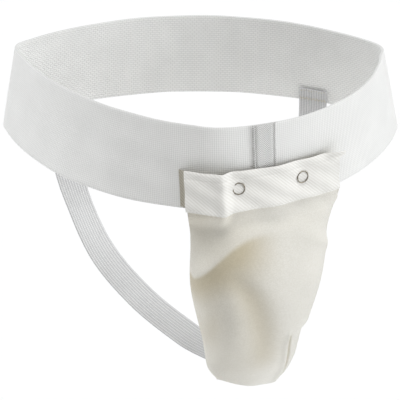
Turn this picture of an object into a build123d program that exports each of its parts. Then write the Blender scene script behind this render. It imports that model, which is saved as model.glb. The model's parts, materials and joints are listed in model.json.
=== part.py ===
from build123d import *
import os
from math import cos, radians, sin

# Groin protector: a wide elastic waistband with a snap-top cup pocket at the front, a hard cup
# in the pocket, and two elastic leg straps from the pocket's foot to the back of the band.
# Millimetres. +Z is up, -Y is the front, and the origin is the middle of the waist opening,
# half way up the band.

os.makedirs("parts", exist_ok=True)

# ---- driving dimensions ----
band_height = 75.0
band_thickness = 2.0
half_height = band_height / 2

# Plan of the band's outer face at its top and bottom edges: three arcs with rounded corners.
top_plan = {
    "left": -164, "right": 158.5, "side_y": 50, "front_y": -107, "back_y": 109,
    "left_sag": 30, "right_sag": 46,
}
bottom_plan = {
    "left": -173.5, "right": 173.5, "side_y": 49, "front_y": -116, "back_y": 109,
    "left_sag": 40, "right_sag": 42,
}
front_x = 10.0             # where the two front arcs meet
outline_steps = 72
side_corner_radius = 11.0

# The pocket has its own upright frame: x across it, y towards the body, z up.
pocket_x, pocket_y = 54.0, -100.0
pocket_yaw = 18.0          # degrees that the pocket faces round to the right

fabric = 1.2               # thickness of the pocket's cloth
tape_width, tape_thickness = 15.0, 0.8
facing_left, facing_right = -66.0, 70.0
facing_top = -0.5
facing_bottom = -half_height + 0.4
facing_gap = 3.6           # room for the snaps between the band and the facing
facing_thickness = 1.2
thread = 0.5
hem_row_rise, hem_row_inset = 2.5, 3.0   # the facing's stitched row, from its lower edge and ends
seam_inset, seam_width = 5.5, 2.0    # the pocket's side seam allowances, from its edges
seam_lead, seam_depth = 0.9, 1.0     # how far they stand before the pocket's back line, and their depth
hinge_drop = 0.8           # how far the fold line lies below the facing's lower edge
fold_point = (4.5, -10.0)  # where the fold line passes, across and in front of the pocket's origin

snap_spacing = 57.0
snap_centre = 4.5
snap_z = -17.0
snap_radius = 6.0
snap_wire = 0.65
socket_height = 2.0
socket_radius, socket_bore = 5.2, 2.7
stud_base_height = 0.7
post_height, post_radius = 1.9, 1.8
curve_room, seat_room = 0.25, 0.1    # room for the band's curve in front of and under a snap

strap_width, strap_thickness = 25.4, 1.6
strap_tilt = 25.0          # degrees that a strap's inner edge stands higher along its free run
strap_patch = 13.0         # how far a strap's end reaches up the inner face of the band
strap_clearance = 1.2

# Pocket levels, top to bottom: height, middle x, half width, side seam's y, front's y.
bow_shoulder = (0.72, 0.74)          # where a level bow turns: share of its half width and its depth
pocket_levels = [
    (-38.6, 4.5, 69, 11, -9),
    (-57, 2.5, 65, 11, -15),
    (-75, 0, 61.5, 11, -27),
    (-110, -3, 58.5, 13, -37),
    (-146, -4.5, 50, 17, -34),
    (-180, -3, 43.5, 22, -20),
    (-205, -1, 40, 27, -3),
    (-222, -1, 33, 30, 13),
    (-232, -1, 26, 32, 25),
]

# Cup levels, top to bottom, in the same terms.
cup_levels = [
    (-64, 0, 34, 7.5, 0),
    (-74, -1, 47, 7.5, -14),
    (-90, -2, 51, 8, -25),
    (-115, -3.5, 49, 10, -31),
    (-146, -4.5, 41, 13.5, -28),
    (-175, -3.5, 35.5, 17, -15),
    (-197, -2, 29, 21, 0),
    (-210, -1, 20, 23.5, 12),
]
cup_wall = 2.5
open_back = 5.0            # how far a hollow is cut through behind the pocket's open back
cup_back = 8.0             # the same for the cup
rim_reach, rim_spare = 6.0, 20.0     # the cutter that trims the cup's rim: behind it, and each side
trim_overhang = 1.2
trim_front, trim_back = -2.5, 1.0    # the trim's reach before and behind the cup's back line
vent_radius = 3.0
vent_rows = (3, 4, 3)      # vents in each row, top row first
vent_spacing, vent_row_gap, first_vent_z = 16.0, 18.0, -104.0

# Leg straps: how far along the way from the band to the pocket's foot, and the height there.
strap_route = [(0.083, -101), (0.145, -127), (0.26, -160), (0.485, -190), (0.77, -209)]
strap_foot_y, strap_foot_z = 34.5, -222.0
strap_lead = 18.0          # straight stretch behind the pocket's foot
tack_rows = (2.0, 9.0)     # heights of the zigzag rows above the band's lower edge
tack_height, tack_thickness = 1.5, 0.5
tack_room = 0.8            # between a zigzag row and the strap, which curves
foot_rows = (-226.5, -229.5)         # heights of the rows that sew the straps to the pocket
foot_row_width, foot_row_height = 50.0, 1.2
left_strap_x, right_strap_x = -127.0, 100.0

# Cutting boxes around the pocket reach this far before and behind its origin.
before_band, behind_tape, behind_facing = -40.0, 40.0, 60.0

pocket = Plane(
    origin=(pocket_x, pocket_y, 0),
    x_dir=(cos(radians(pocket_yaw)), sin(radians(pocket_yaw)), 0),
    z_dir=(0, 0, 1),
)


def box_between(low, high):
    """A box from its lowest to its highest corner."""
    size = [b - a for a, b in zip(low, high)]
    middle = [(a + b) / 2 for a, b in zip(low, high)]
    return Pos(*middle) * Box(*size)


# ---- waistband ----
def smooth_face(face):
    """The same face with one smooth curve for its outline, which starts at its rightmost point."""
    outline = face.faces()[0].outer_wire()
    steps = range(outline_steps)
    points = [outline @ (step / outline_steps) for step in steps]
    start = max(steps, key=lambda step: points[step].X)
    points = points[start:] + points[:start]
    if points[1].Y < points[-1].Y:
        points = points[:1] + points[:0:-1]
    return make_face(Spline(*points, periodic=True))


def plan_face(plan, grow, z):
    """The flat face that the band's outer face encloses at one edge, grown outwards."""
    left = (plan["left"], plan["side_y"])
    right = (plan["right"], plan["side_y"])
    front = (front_x, plan["front_y"])
    arcs = [
        SagittaArc(left, front, -plan["left_sag"]),
        SagittaArc(front, right, -plan["right_sag"]),
        ThreePointArc(right, (front_x / 2, plan["back_y"]), left),
    ]
    face = make_face(arcs)
    corners = face.vertices().sort_by(Axis.X)
    face = fillet([corners[0], corners[-1]], side_corner_radius)
    if grow:
        face = offset(face, grow)
    return Pos(0, 0, z) * smooth_face(face)


def band_core(grow):
    """The solid inside the band's outer face, grown outwards by a distance."""
    faces = [
        plan_face(bottom_plan, grow, -half_height),
        plan_face(top_plan, grow, half_height),
    ]
    return loft(faces, ruled=True)


def band_shell(inner, outer):
    """A hoop between two distances from the band's outer face."""
    return band_core(outer) - band_core(inner)


def on_band(start, direction, core):
    """Where a level line from a point last leaves a core, and the outward direction there."""
    hits = core.find_intersection_points(Axis(start, direction))
    point, normal = max(hits, key=lambda hit: (hit[0] - Vector(*start)).dot(Vector(*direction)))
    return point, Vector(normal.X, normal.Y, normal.Z).normalized()


outer_core = band_core(0)
inner_core = band_core(-band_thickness)
waistband = outer_core - inner_core

tape_box = pocket * box_between(
    (-tape_width / 2, before_band, -half_height), (tape_width / 2, behind_tape, half_height)
)
front_seam_tape = band_shell(0, tape_thickness) & tape_box

# ---- top facing, which the snaps hold to the band ----
facing_outside = facing_gap + facing_thickness
facing_box = pocket * box_between(
    (facing_left, before_band, facing_bottom), (facing_right, behind_facing, facing_top)
)
top_facing = band_shell(facing_gap, facing_outside) & facing_box

hem_row_z = facing_bottom + hem_row_rise
hem_box = pocket * box_between(
    (facing_left + hem_row_inset, before_band, hem_row_z),
    (facing_right - hem_row_inset, behind_facing, hem_row_z + thread),
)
facing_hem_stitching = band_shell(facing_outside, facing_outside + thread) & hem_box


# ---- snaps ----
def snap_parts(side):
    """The four pieces of one snap, on the band's outward direction at its place."""
    start = pocket.from_local_coords(Vector(snap_centre + side * snap_spacing / 2, behind_facing, snap_z))
    forward = pocket.z_dir.cross(pocket.x_dir) * -1
    point, normal = on_band(tuple(start), tuple(forward), outer_core)
    seat = Plane(origin=point, z_dir=normal)
    ring = Torus(snap_radius - snap_wire, snap_wire)
    cap_ring = Pos(0, 0, facing_outside + snap_wire + curve_room) * ring
    socket = Pos(0, 0, facing_gap - curve_room - socket_height / 2) * (
        Cylinder(socket_radius, socket_height) - Cylinder(socket_bore, socket_height)
    )
    post_middle = seat_room + stud_base_height + post_height / 2
    stud = Pos(0, 0, seat_room + stud_base_height / 2) * Cylinder(socket_radius, stud_base_height)
    stud += Pos(0, 0, post_middle) * Cylinder(post_radius, post_height)
    post_ring = Pos(0, 0, -band_thickness - snap_wire - curve_room) * ring
    return {
        "snap_cap_ring": seat * cap_ring,
        "snap_socket": seat * socket,
        "snap_stud": seat * stud,
        "snap_post_ring": seat * post_ring,
    }


# ---- pocket ----
def bow_face(z, middle_x, half_width, back_y, front_y):
    """A level section: straight across the back, bowed out at the front."""
    shoulder = bow_shoulder[0] * half_width
    shoulder_y = back_y + bow_shoulder[1] * (front_y - back_y)
    left = (middle_x - half_width, back_y, z)
    right = (middle_x + half_width, back_y, z)
    bow = Spline(
        left,
        (middle_x - shoulder, shoulder_y, z),
        (middle_x, front_y, z),
        (middle_x + shoulder, shoulder_y, z),
        right,
    )
    return make_face([bow, Line(right, left)])


def bowed_solid(levels, shrink=0.0, back=0.0, ends=0.0):
    """A solid through the level sections, drawn in all round and moved back behind."""
    last = len(levels) - 1
    faces = []
    for index, (z, middle_x, half_width, seam_y, front_y) in enumerate(levels):
        inset = -ends if index == 0 else ends if index == last else 0
        section = bow_face(z + inset, middle_x, half_width - shrink, seam_y + back, front_y + shrink)
        faces.append(section)
    return loft(faces)


def back_slab(levels, near, far, spare_width=0.0, overrun=0.0):
    """A slab that follows the levels' back line, from one distance behind it to another."""
    faces = []
    last = len(levels) - 1
    for index, (z, middle_x, half_width, seam_y, _) in enumerate(levels):
        end = overrun if index == 0 else -overrun if index == last else 0
        section = Rectangle(2 * (half_width + spare_width), far - near)
        faces.append(Pos(middle_x, seam_y + (near + far) / 2, z + end) * section)
    return loft(faces)


pocket_inside = bowed_solid(pocket_levels, shrink=fabric, back=open_back, ends=-1)
front_panel = bowed_solid(pocket_levels) - pocket_inside
pocket_lining = back_slab(pocket_levels, 0.1, 0.1 + fabric)


def side_seam(side):
    """The overlocked seam allowance inside one edge of the pocket."""
    faces = []
    for z, middle_x, half_width, seam_y, _ in pocket_levels[1:-1]:
        seam_x = middle_x + side * (half_width - seam_inset)
        faces.append(Pos(seam_x, seam_y - seam_lead, z - 1) * Rectangle(seam_width, seam_depth))
    return loft(faces)


# ---- cup ----
cup_outside = bowed_solid(cup_levels)
cup_hollow = bowed_solid(cup_levels, shrink=cup_wall, back=cup_back, ends=cup_wall)
rim_slab = back_slab(cup_levels, trim_front, rim_reach, spare_width=rim_spare, overrun=2)
cup_shell = cup_outside - cup_hollow - rim_slab
for row, count in enumerate(vent_rows):
    for place in range(count):
        vent_x = (place - (count - 1) / 2) * vent_spacing
        vent_z = first_vent_z - vent_row_gap * row
        cup_shell -= Pos(vent_x, -30, vent_z) * Rot(X=90) * Cylinder(vent_radius, 40)

trim_slab = back_slab(cup_levels, trim_front, trim_back, spare_width=rim_spare, overrun=2)
trim_outside = bowed_solid(cup_levels, shrink=-trim_overhang, back=4)
trim_hollow = bowed_solid(
    cup_levels, shrink=cup_wall + trim_overhang, back=cup_back, ends=cup_wall
)
cup_edge_trim = (trim_outside - trim_hollow) & trim_slab


# ---- leg straps ----
def strap_section(centre, along, across):
    """The strap's cross-section at a point, square to its run."""
    return Plane(origin=centre, x_dir=across, z_dir=along) * Rectangle(strap_width, strap_thickness)


def leg_strap(anchor_x, foot_x):
    """A strap from the band's inner face down and forward to the pocket's foot."""
    backward = (0, 1, 0)
    patch_levels = (strap_patch - half_height, 2 - half_height)
    points = []
    for z in patch_levels:
        point, normal = on_band((anchor_x, 0, z), backward, inner_core)
        points.append(point - normal * (strap_thickness / 2 + strap_clearance))
    level_normal = Vector(normal.X, normal.Y, 0).normalized()
    band_across = Vector(0, 0, 1).cross(level_normal)
    lead = pocket.from_local_coords(Vector(foot_x, strap_foot_y + strap_lead, strap_foot_z + 3))
    foot = pocket.from_local_coords(Vector(foot_x, strap_foot_y, strap_foot_z))
    start = points[-1]
    way = Vector(lead.X - start.X, lead.Y - start.Y, 0)
    for fraction, z in strap_route:
        points.append(Vector(start.X + fraction * way.X, start.Y + fraction * way.Y, z))
    points += [lead, foot]
    level_across = Vector(0, 0, 1).cross(way.normalized())
    inner = 1 if foot_x < 0 else -1
    rise = Vector(0, 0, inner * sin(radians(strap_tilt)))
    run_across = level_across * cos(radians(strap_tilt)) + rise
    across_each = [band_across] * 3 + [run_across] * 4 + [pocket.x_dir] * 2
    sections = []
    last = len(points) - 1
    for index, (point, across) in enumerate(zip(points, across_each)):
        before = points[max(index - 1, 0)]
        after = points[min(index + 1, last)]
        along = (after - before).normalized()
        across = (across - along * across.dot(along)).normalized()
        sections.append(strap_section(point, along, across))
    return loft(sections), start, band_across, level_normal


def strap_tack(start, across, normal):
    """Zigzag rows that fix a strap's end to the band, as two thin bars on the strap."""
    seat_gap = (strap_thickness + tack_thickness) / 2 + tack_room
    seat = Plane(origin=start - normal * seat_gap, x_dir=across, z_dir=normal)
    row = Box(strap_width - 2 * tack_height, tack_height, tack_thickness)
    rows = [Pos(0, height) * row for height in tack_rows]
    return seat * Compound(children=rows)


left_leg_strap, left_start, left_across, left_normal = leg_strap(left_strap_x, -15)
right_leg_strap, right_start, right_across, right_normal = leg_strap(right_strap_x, 15)


def foot_row(z):
    """One row of stitching just behind the pocket's lining, near its lower edge."""
    (upper_z, _, _, upper_y, _), (lower_z, _, _, lower_y, _) = pocket_levels[-2:]
    seam_y = upper_y + (z - upper_z) / (lower_z - upper_z) * (lower_y - upper_y)
    middle_y = seam_y + fabric + 2 * thread
    return Pos(0, middle_y, z) * Box(foot_row_width, thread, foot_row_height)


strap_foot_stitching = Compound(children=[foot_row(z) for z in foot_rows])

# ---- write every node ----
nodes = {
    "waistband": waistband,
    "front_seam_tape": front_seam_tape,
    "top_facing": top_facing,
    "facing_hem_stitching": facing_hem_stitching,
    "front_panel": pocket * front_panel,
    "pocket_lining": pocket * pocket_lining,
    "cup_shell": pocket * cup_shell,
    "cup_edge_trim": pocket * cup_edge_trim,
    "left_side_seam": pocket * side_seam(-1),
    "right_side_seam": pocket * side_seam(1),
    "left_leg_strap": left_leg_strap,
    "right_leg_strap": right_leg_strap,
    "left_strap_tack": strap_tack(left_start, left_across, left_normal),
    "right_strap_tack": strap_tack(right_start, right_across, right_normal),
    "strap_foot_stitching": pocket * strap_foot_stitching,
}
for side, prefix in ((-1, "left"), (1, "right")):
    for name, shape in snap_parts(side).items():
        nodes[f"{prefix}_{name}"] = shape

for name, shape in nodes.items():
    export_step(shape, f"parts/{name}.step")

fold_line = pocket.from_local_coords(Vector(*fold_point, facing_bottom - hinge_drop))
print("fold line passes through", [round(value, 2) for value in fold_line])
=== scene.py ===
# %% [markdown]
# # A groin protector: elastic, knit, twill and a hard cup
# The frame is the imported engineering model. It says where every piece is and what moves.
# This lesson makes the cloth and metal that go around it, one piece at a time.

# %% Load the frame
import json
from math import cos, exp, pi, radians, sin, sqrt

import bmesh
import bpy
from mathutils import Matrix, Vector
from mathutils.bvhtree import BVHTree


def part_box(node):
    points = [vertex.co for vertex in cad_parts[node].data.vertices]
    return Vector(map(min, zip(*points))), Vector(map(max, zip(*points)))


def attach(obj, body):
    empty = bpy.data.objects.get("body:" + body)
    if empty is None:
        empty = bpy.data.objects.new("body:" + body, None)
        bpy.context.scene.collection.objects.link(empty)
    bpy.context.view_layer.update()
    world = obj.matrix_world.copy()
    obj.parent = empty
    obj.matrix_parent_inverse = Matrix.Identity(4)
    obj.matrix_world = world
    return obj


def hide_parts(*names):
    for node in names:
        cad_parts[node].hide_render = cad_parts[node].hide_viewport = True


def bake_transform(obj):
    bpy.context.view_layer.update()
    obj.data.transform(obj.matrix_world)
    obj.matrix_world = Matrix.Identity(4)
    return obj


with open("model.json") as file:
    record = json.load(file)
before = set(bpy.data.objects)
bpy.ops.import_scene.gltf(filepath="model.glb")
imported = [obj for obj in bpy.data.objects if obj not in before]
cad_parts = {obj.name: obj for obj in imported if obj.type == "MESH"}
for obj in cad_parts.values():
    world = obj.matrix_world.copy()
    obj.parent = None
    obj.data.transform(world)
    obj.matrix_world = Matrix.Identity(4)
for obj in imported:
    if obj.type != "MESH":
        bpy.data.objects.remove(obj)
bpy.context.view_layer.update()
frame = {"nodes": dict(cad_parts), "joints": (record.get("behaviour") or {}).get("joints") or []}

# %% [markdown]
# Real sizes are written in millimetres, because that is how cloth and elastic are sold, and
# `mm` turns them to Blender's metres. Colours are hex codes, as a dyer's chart gives them. A
# shader works in linear light, so one function turns them.

# %% Units and colours
mm = 0.001


def linear(hex_code):
    """A hex colour as linear red, green, blue and alpha."""
    parts = [int(hex_code[place:place + 2], 16) / 255 for place in (0, 2, 4)]
    return [part / 12.92 if part <= 0.04045 else ((part + 0.055) / 1.055) ** 2.4 for part in parts] + [1]


def smooth(value):
    """0 below 0, 1 above 1, and an easy curve between."""
    value = min(max(value, 0), 1)
    return value * value * (3 - 2 * value)


def hill(distance, width):
    """1 at the top of a soft round hill, near 0 at twice its width."""
    return exp(-(distance / width) ** 2)


# %% [markdown]
# The pocket faces a little to one side, so it has its own upright axes. The flap's hinge gives
# the direction across it, and "back" is towards the wearer.

# %% The pocket's own axes
joints = {joint["name"]: joint for joint in frame["joints"]}
up = Vector((0, 0, 1))
across = Vector(joints["flap_open"]["axis"]).normalized()
back = up.cross(across)
pocket_origin = Vector((54, -100, 0)) * mm


def pocket_point(x, y, z):
    """A point given in millimetres across, behind and above the pocket's origin."""
    return pocket_origin + (across * x + back * y + up * z) * mm


def in_pocket(point):
    """A world point in the pocket's millimetres."""
    away = (point - pocket_origin) / mm
    return away.dot(across), away.dot(back), away.z


# %% [markdown]
# Every woven piece starts as a grid of points from a rule. Its UV map is laid out in metres
# along and across the cloth, so a weave keeps its thread spacing wherever the cloth goes.
# Solidify gives the cloth its thickness, and a bevel rounds its cut edges.

# %% Build a cloth piece from a rule
def grid_piece(name, points, uvs, loop=False):
    """A mesh of quads from rows of points, with a UV for each point."""
    rows, columns = len(points), len(points[0])
    mesh = bpy.data.meshes.new(name)
    spans = columns if loop else columns - 1
    faces = []
    corners = []
    for row in range(rows - 1):
        for column in range(spans):
            after = (column + 1) % columns
            faces.append([
                row * columns + column,
                row * columns + after,
                (row + 1) * columns + after,
                (row + 1) * columns + column,
            ])
            corners += [(row, column), (row, column + 1), (row + 1, column + 1), (row + 1, column)]
    mesh.from_pydata([point for line in points for point in line], [], faces)
    layer = mesh.uv_layers.new(name="cloth")
    for corner, (row, column) in zip(layer.data, corners):
        corner.uv = uvs[row][column]
    for face in mesh.polygons:
        face.use_smooth = True
    piece = bpy.data.objects.new(name, mesh)
    bpy.context.scene.collection.objects.link(piece)
    return piece


def thicken(piece, thickness, offset=-1, inner_slot=0, round_edges=True):
    """Give a sheet its thickness, and soften its cut edges with a bevel of a third of it."""
    solid = piece.modifiers.new("thickness", "SOLIDIFY")
    solid.thickness = thickness
    solid.offset = offset
    solid.use_even_offset = False
    solid.material_offset = inner_slot
    if round_edges:
        bevel = piece.modifiers.new("soft edge", "BEVEL")
        bevel.width = thickness * 0.35
        bevel.segments = 2
        bevel.limit_method = "ANGLE"
        bevel.angle_limit = radians(50)
    return piece


def tree_of(piece):
    """A search tree of a piece's own mesh."""
    mesh = piece.data
    return BVHTree.FromPolygons(
        [vertex.co for vertex in mesh.vertices], [face.vertices for face in mesh.polygons]
    )


# %% [markdown]
# ## Materials
# Cloth is mostly thread and the gaps between threads. Each weave below is a height from 0 in a
# gap to 1 on a thread. The height drives a bump, and it darkens the gaps, because less light
# comes back out of them. Slow noise makes the cloth a little uneven, as washed cotton is.

# %% A helper for nodes, and one for cloth
def add_node(tree, kind, settings=None, values=None, links=None):
    """Add a node, set its options and input values, and link its inputs."""
    node = tree.nodes.new(kind)
    for name, value in (settings or {}).items():
        setattr(node, name, value)
    for name, value in (values or {}).items():
        node.inputs[name].default_value = value
    for name, socket in (links or {}).items():
        tree.links.new(socket, node.inputs[name])
    return node


def new_material(name):
    """An empty material with its shader."""
    material = bpy.data.materials.new(name)
    material.use_nodes = True
    shader = material.node_tree.nodes["Principled BSDF"]
    return material, material.node_tree, shader


def wave_scale(pitch):
    """The Wave texture's scale that puts its crests one pitch apart."""
    return 2 * pi / (20 * pitch)


def cloth_material(name, thread, gap, weave, depth, roughness=0.85, sheen=0.25, uneven=0.06):
    """A cloth from its thread and gap colours, its weave and the depth of its gaps."""
    material, tree, shader = new_material(name)
    uv = add_node(tree, "ShaderNodeUVMap", {"uv_map": "cloth"}).outputs["UV"]
    height = weave(tree, uv)
    place = add_node(tree, "ShaderNodeTexCoord").outputs["Object"]
    cloud = add_node(
        tree, "ShaderNodeTexNoise", {}, {"Scale": 28.0, "Detail": 3.0}, {"Vector": place}
    )
    light = add_node(
        tree, "ShaderNodeMapRange", {},
        {"From Min": 0.3, "From Max": 0.7, "To Min": 1 - uneven, "To Max": 1.0},
        {"Value": cloud.outputs["Fac"]},
    )
    colour = add_node(
        tree, "ShaderNodeMix", {"data_type": "RGBA"},
        {"A": linear(gap), "B": linear(thread)}, {"Factor": height},
    )
    shaded = add_node(
        tree, "ShaderNodeMix", {"data_type": "RGBA", "blend_type": "MULTIPLY"},
        {"Factor": 1.0},
        {"A": colour.outputs["Result"], "B": light.outputs["Result"]},
    )
    fuzz = add_node(tree, "ShaderNodeTexNoise", {}, {"Scale": 2600.0, "Detail": 2.0}, {"Vector": place})
    raised = add_node(
        tree, "ShaderNodeMath", {"operation": "MULTIPLY_ADD"}, {1: 0.25},
        {0: fuzz.outputs["Fac"], 2: height},
    )
    bump = add_node(
        tree, "ShaderNodeBump", {}, {"Strength": 1.0, "Distance": depth},
        {"Height": raised.outputs["Value"]},
    )
    tree.links.new(shaded.outputs["Result"], shader.inputs["Base Color"])
    tree.links.new(bump.outputs["Normal"], shader.inputs["Normal"])
    shader.inputs["Roughness"].default_value = roughness
    shader.inputs["Sheen Weight"].default_value = sheen
    shader.inputs["Sheen Roughness"].default_value = 0.5
    return material


# %% [markdown]
# The band's outer face is a plain weave over rubber: warp ribs across it and picks along it
# make a fine grid. Its inner face is softer, with long loops like a row of bricks.

# %% Band materials
def grid_weave(tree, uv, rib_pitch=1.9 * mm, pick_pitch=1.7 * mm):
    """Ribs up the band, picks along it, and a gap wherever both are low."""
    ribs = add_node(
        tree, "ShaderNodeTexWave", {"bands_direction": "X"},
        {"Scale": wave_scale(rib_pitch), "Distortion": 0.5}, {"Vector": uv},
    )
    picks = add_node(
        tree, "ShaderNodeTexWave", {"bands_direction": "Y"},
        {"Scale": wave_scale(pick_pitch), "Distortion": 0.5}, {"Vector": uv},
    )
    mixed = add_node(
        tree, "ShaderNodeMix", {"data_type": "FLOAT"}, {"Factor": 0.45},
        {"A": ribs.outputs["Fac"], "B": picks.outputs["Fac"]},
    )
    return mixed.outputs["Result"]


def loop_weave(tree, uv, loop_length=3.9 * mm, loop_height=2.0 * mm):
    """Staggered loops: bricks whose mortar is the gap between them."""
    bricks = add_node(
        tree, "ShaderNodeTexBrick", {"offset": 0.5},
        {
            "Color1": (1, 1, 1, 1), "Color2": (0.9, 0.9, 0.9, 1), "Mortar": (0, 0, 0, 1),
            "Scale": 1.0, "Mortar Size": loop_height / 5, "Mortar Smooth": 1.0,
            "Brick Width": loop_length, "Row Height": loop_height,
        },
        {"Vector": uv},
    )
    return bricks.outputs["Color"]


# Woven elastic, outer face: cotton-wrapped rubber. The fine grid gives a dry, chalky white. The
# real pitch is about 1.3 mm, and it is drawn a little coarser so that it shows.
band_outer = cloth_material("woven_elastic_face", "EFEFED", "DCDCDA", grid_weave, 0.14 * mm)
# Woven elastic, inner face: brushed loops, whose deeper gaps give it a soft pebbled grain.
band_inner = cloth_material("woven_elastic_back", "FCFCFA", "E4E4E2", loop_weave, 0.25 * mm)
print("band materials:", band_outer.name, band_inner.name)

# %% [markdown]
# ## The waistband
# The band is one loop of 75 mm elastic. The frame holds its true shape, so rays from outside
# find its outer face all the way round, at the top and bottom edges. The loop is worn soft, so
# those two edges are smoothed before the grid is stretched between them.

# %% Read the band's outer face
band_steps = 420
band_rows = 26
half_height = 37.5 * mm
smoothing_passes = 2
outside_reach = 0.5
cad_band = tree_of(frame["nodes"]["waistband"])


def band_edge(z):
    """Points round the band's outer face at one height."""
    radii = []
    for step in range(band_steps):
        turn = 2 * pi * step / band_steps
        outward = Vector((cos(turn), sin(turn), 0))
        hit = cad_band.ray_cast(outward * outside_reach + up * z, -outward)
        radii.append(hit[0].xy.length)
    for _ in range(smoothing_passes):
        radii = [
            (radii[step - 1] + 2 * radii[step] + radii[(step + 1) % band_steps]) / 4
            for step in range(band_steps)
        ]
    turns = [2 * pi * step / band_steps for step in range(band_steps)]
    return [Vector((radius * cos(turn), radius * sin(turn), z)) for radius, turn in zip(radii, turns)]


edge_inset = 0.2 * mm
low_edge = band_edge(edge_inset - half_height)
high_edge = band_edge(half_height - edge_inset)

# %% Stretch the band between its edges
def along_loop(edge):
    """The distance from the loop's first point to each point, and once round."""
    distances = [0]
    for step in range(len(edge)):
        distances.append(distances[-1] + (edge[(step + 1) % len(edge)] - edge[step]).length)
    return distances


middle_edge = [(low + high) / 2 for low, high in zip(low_edge, high_edge)]
band_distance = along_loop(middle_edge)
front_left_turn = 4.1
band_points = []
band_uvs = []
for row in range(band_rows):
    share = row / (band_rows - 1)
    line = []
    for step in range(band_steps):
        point = low_edge[step].lerp(high_edge[step], share)
        turn = 2 * pi * step / band_steps
        outward = Vector((point.x, point.y, 0)).normalized()
        belly = 0.6 * sin(3 * turn + 0.6) * sin(pi * share)
        ripple = 0.3 * sin(11 * turn + 4 * share)
        creases = 0.3 * sin(17 * share + 2.2 * turn) * hill(turn - front_left_turn, 0.45)
        line.append(point + outward * (belly + ripple + creases) * mm)
    band_points.append(line)
    band_uvs.append([(distance, share * 2 * half_height) for distance in band_distance])
waistband = grid_piece("waistband_elastic", band_points, band_uvs, loop=True)
band_skin = tree_of(waistband)
waistband.data.materials.append(band_outer)
waistband.data.materials.append(band_inner)
band_thickness = 2.0 * mm
thicken(waistband, band_thickness, inner_slot=1)
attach(waistband, "waist_and_pocket")
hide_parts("waistband")

# %% [markdown]
# Pieces that lie on the front of the band need its surface there. A ray towards the wearer finds
# the point, and four neighbours give a smooth outward direction.

# %% Find the front of the band
highest_ray = 36.9
neighbour_gap = 3
before_band = -80


def on_front(x, z):
    """The band's outer face in front of a place in the pocket's axes, and its outward way."""
    level = min(max(z, -highest_ray), highest_ray)

    def hit(dx, dz):
        height = min(max(level + dz, -highest_ray), highest_ray)
        return band_skin.ray_cast(pocket_point(x + dx, before_band, height), back)[0]

    sideways = hit(neighbour_gap, 0) - hit(-neighbour_gap, 0)
    upwards = hit(0, neighbour_gap) - hit(0, -neighbour_gap)
    outward = sideways.cross(upwards).normalized()
    return hit(0, 0) + up * (z - level) * mm, outward


# %% [markdown]
# ## Seam tape
# The band's two ends meet under a herringbone tape. The tape's strip sits between two low
# ridges, where the elastic's ends are folded. One cross-section swept up the band makes it. The
# section is a list of places across the tape, each with its height off the band in millimetres.

# %% Herringbone material
def herringbone(tree, uv, column=3.75 * mm, pitch=2.0 * mm):
    """Slanted lines that turn back at each column."""
    parts = add_node(tree, "ShaderNodeSeparateXYZ", links={"Vector": uv})
    zigzag = add_node(
        tree, "ShaderNodeMath", {"operation": "PINGPONG"}, {1: column}, {0: parts.outputs["X"]}
    )
    slant = add_node(
        tree, "ShaderNodeMath", {"operation": "MULTIPLY_ADD"}, {1: 1.3},
        {0: zigzag.outputs["Value"], 2: parts.outputs["Y"]},
    )
    line = add_node(tree, "ShaderNodeCombineXYZ", links={"X": slant.outputs["Value"]})
    ridges = add_node(
        tree, "ShaderNodeTexWave", {"bands_direction": "X"}, {"Scale": wave_scale(pitch)},
        {"Vector": line.outputs["Vector"]},
    )
    return ridges.outputs["Fac"]


# Cotton herringbone tape: slanted ridges that catch the light in turn.
tape_cloth = cloth_material("herringbone_tape", "F2F2F0", "C4C4C2", herringbone, 0.35 * mm)

# %% Sweep the tape up the band
tape_profile = [
    (-10.2, 0.1), (-9.9, 0.5), (-9.6, 2.0), (-9.1, 2.6), (-8.5, 2.2), (-8.1, 0.4), (-7.6, 0.4),
    (-7.2, 1.4), (-6.5, 2.0), (-5.4, 2.3), (-3, 2.0), (0, 1.7), (3, 1.7), (6.0, 1.8), (6.8, 1.7),
    (7.2, 0.3), (9.4, 0.2), (9.7, 0.9), (10.3, 1.1), (11.2, 0.15),
]
tape_low, tape_high = -37.2, 37.4
tape_thickness = 0.35
tape_rows = 60
tape_points = []
tape_uvs = []
for row in range(tape_rows):
    z = tape_low + (tape_high - tape_low) * row / (tape_rows - 1)
    line = []
    for x, height in tape_profile:
        point, outward = on_front(x, z)
        line.append(point + outward * height * mm)
    tape_points.append(line)
    tape_uvs.append([(x * mm, z * mm) for x, _ in tape_profile])
seam_tape = grid_piece("front_seam_tape_cloth", tape_points, tape_uvs)
seam_tape.data.materials.append(tape_cloth)
thicken(seam_tape, tape_thickness * mm, round_edges=False)
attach(seam_tape, "waist_and_pocket")
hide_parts("front_seam_tape")
print("tape rows:", tape_rows)

# %% [markdown]
# ## Top facing
# A strip of twill closes the pocket's mouth. It is held to the band only at its two snaps, so
# it stands away everywhere else: its left end juts out, a stiff ridge runs down beside the left
# snap, and its top right corner curls off the band. A field of heights above the band says all
# of that, and each part of the field is one named fold.

# %% The facing's folds
facing_left, facing_right = -65, 67.5
facing_top, facing_bottom = -0.5, -37.1
snap_height = -17
left_snap, right_snap = -24, 33
snapped = 4.8              # how far the outer face stands off the band at a snap
facing_cloth = 1.2
ridge_place = -38


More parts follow.
